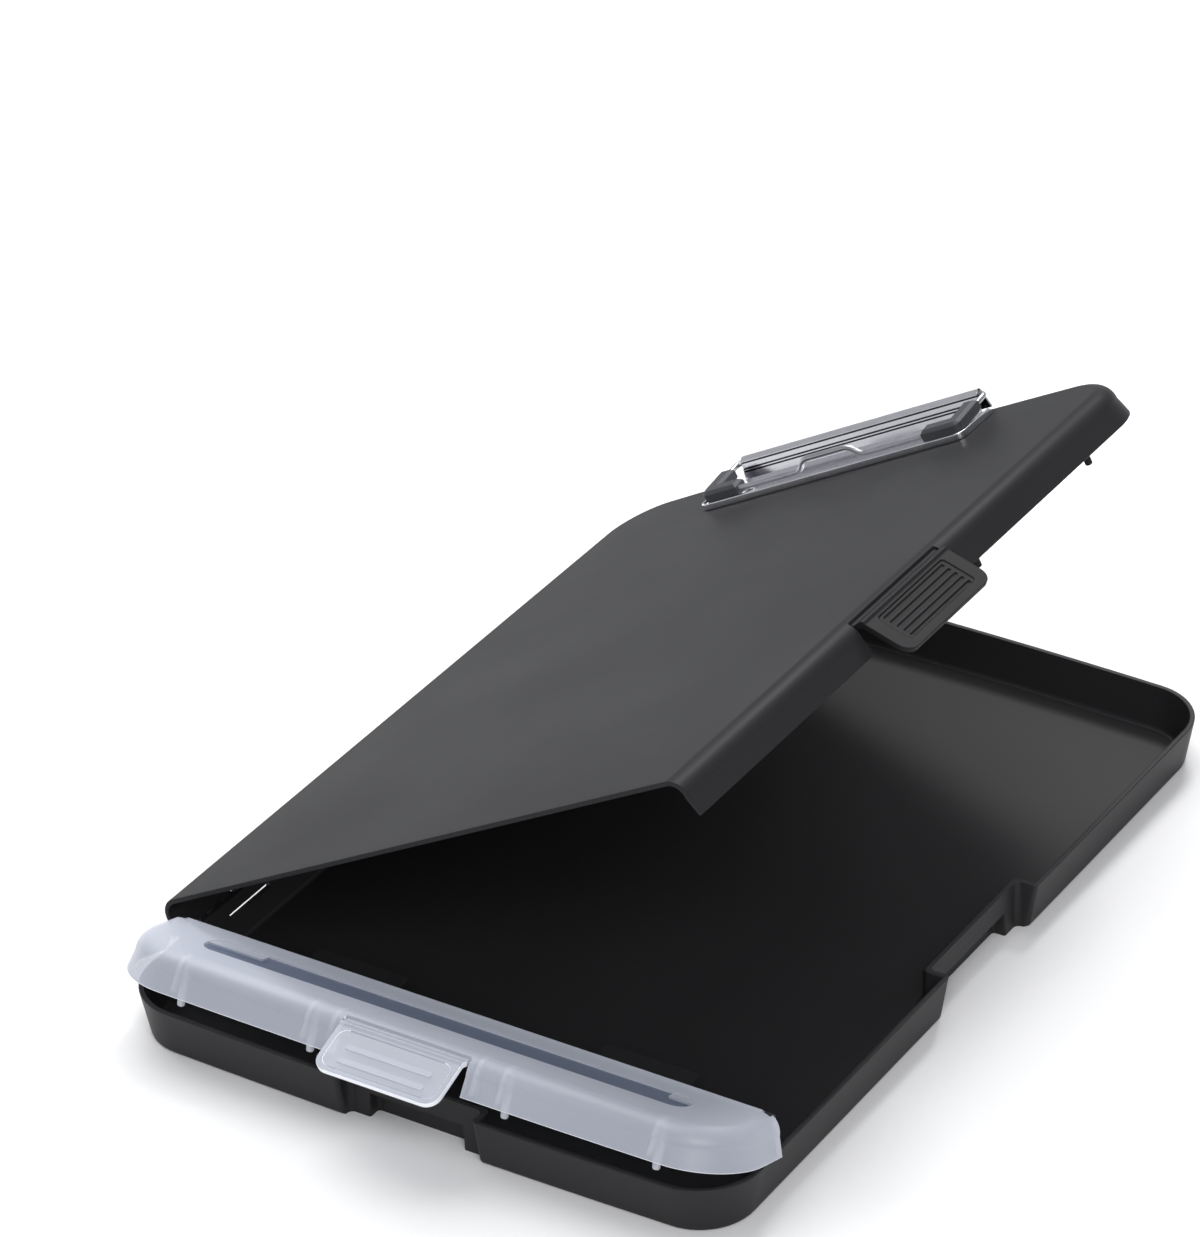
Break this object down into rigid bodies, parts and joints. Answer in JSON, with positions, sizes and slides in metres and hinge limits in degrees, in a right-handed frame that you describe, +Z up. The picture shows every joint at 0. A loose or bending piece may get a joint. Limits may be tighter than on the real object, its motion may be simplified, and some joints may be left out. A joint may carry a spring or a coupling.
{
  "type": "storage clipboard box",
  "caption": "Shallow document box whose hinged lid is a clipboard with a low spring clip, and whose pen compartment has its own frosted cover; both are shown part-open.",
  "frame": {"origin": "centre of the tray's flat underside", "axes": "+X towards the latch side, across the case; +Y along the case towards the clip; +Z up out of the tray's underside"},
  "size_m": [0.2443, 0.3659, 0.1432],
  "materials": {
    "tray_plastic": "fine satin moulding, near black",
    "lid_plastic": "fine even texture, charcoal grey",
    "frosted_plastic": "frosted, lets some light through",
    "plated_steel": "bright plated sheet",
    "wire_steel": "bright drawn wire",
    "pin_steel": "plain cut wire and pressed sheet",
    "grip_rubber": "matt moulded rubber"
  },
  "bodies": {
    "tray": {"base_tray": "tray_plastic", "compartment_divider": "tray_plastic", "lid_hinge_pin_upper": "pin_steel", "lid_hinge_pin_lower": "pin_steel", "pen_cover_pin_left": "pin_steel", "pen_cover_pin_right": "pin_steel"},
    "lid": {"lid": "lid_plastic", "clip_plate": "plated_steel", "clip_rivet_left": "plated_steel", "clip_rivet_right": "plated_steel", "rivet_washer_left": "pin_steel", "rivet_washer_right": "pin_steel"},
    "lid_latch": {"lid_latch": "lid_plastic"},
    "pen_cover": {"pen_cover": "frosted_plastic"},
    "pen_cover_latch": {"pen_cover_latch": "frosted_plastic"},
    "bail": {"clip_bail": "wire_steel", "clip_grip_left": "grip_rubber", "clip_grip_right": "grip_rubber"}
  },
  "joints": [
    {"name": "lid_hinge", "type": "hinge", "parent": "tray", "child": "lid", "pos_m": [-0.121, 0, 0.0152], "axis": [0, -1, 0], "range_deg": [-28.8, 143.2]},
    {"name": "lid_latch_hinge", "type": "hinge", "parent": "lid", "child": "lid_latch", "pos_m": [0.08056, 0.004, 0.13947], "axis": [0, -1, 0], "range_deg": [-61.3, 39.4]},
    {"name": "pen_cover_hinge", "type": "hinge", "parent": "tray", "child": "pen_cover", "pos_m": [0, -0.1362, 0.027], "axis": [-1, 0, 0], "range_deg": [-17.5, 52.5]},
    {"name": "pen_cover_latch_hinge", "type": "hinge", "parent": "pen_cover", "child": "pen_cover_latch", "pos_m": [-0.0015, -0.16891, 0.03731], "axis": [-1, 0, 0], "range_deg": [-66.9, 35]},
    {"name": "bail_hinge", "type": "hinge", "parent": "lid", "child": "bail", "pos_m": [-0.02528, 0.1678, 0.09224], "axis": [-0.8763, 0, -0.4818], "range_deg": [0, 70], "stiffness_Nm_per_rad": 0.3, "springref_deg": -22.92}
  ]
}
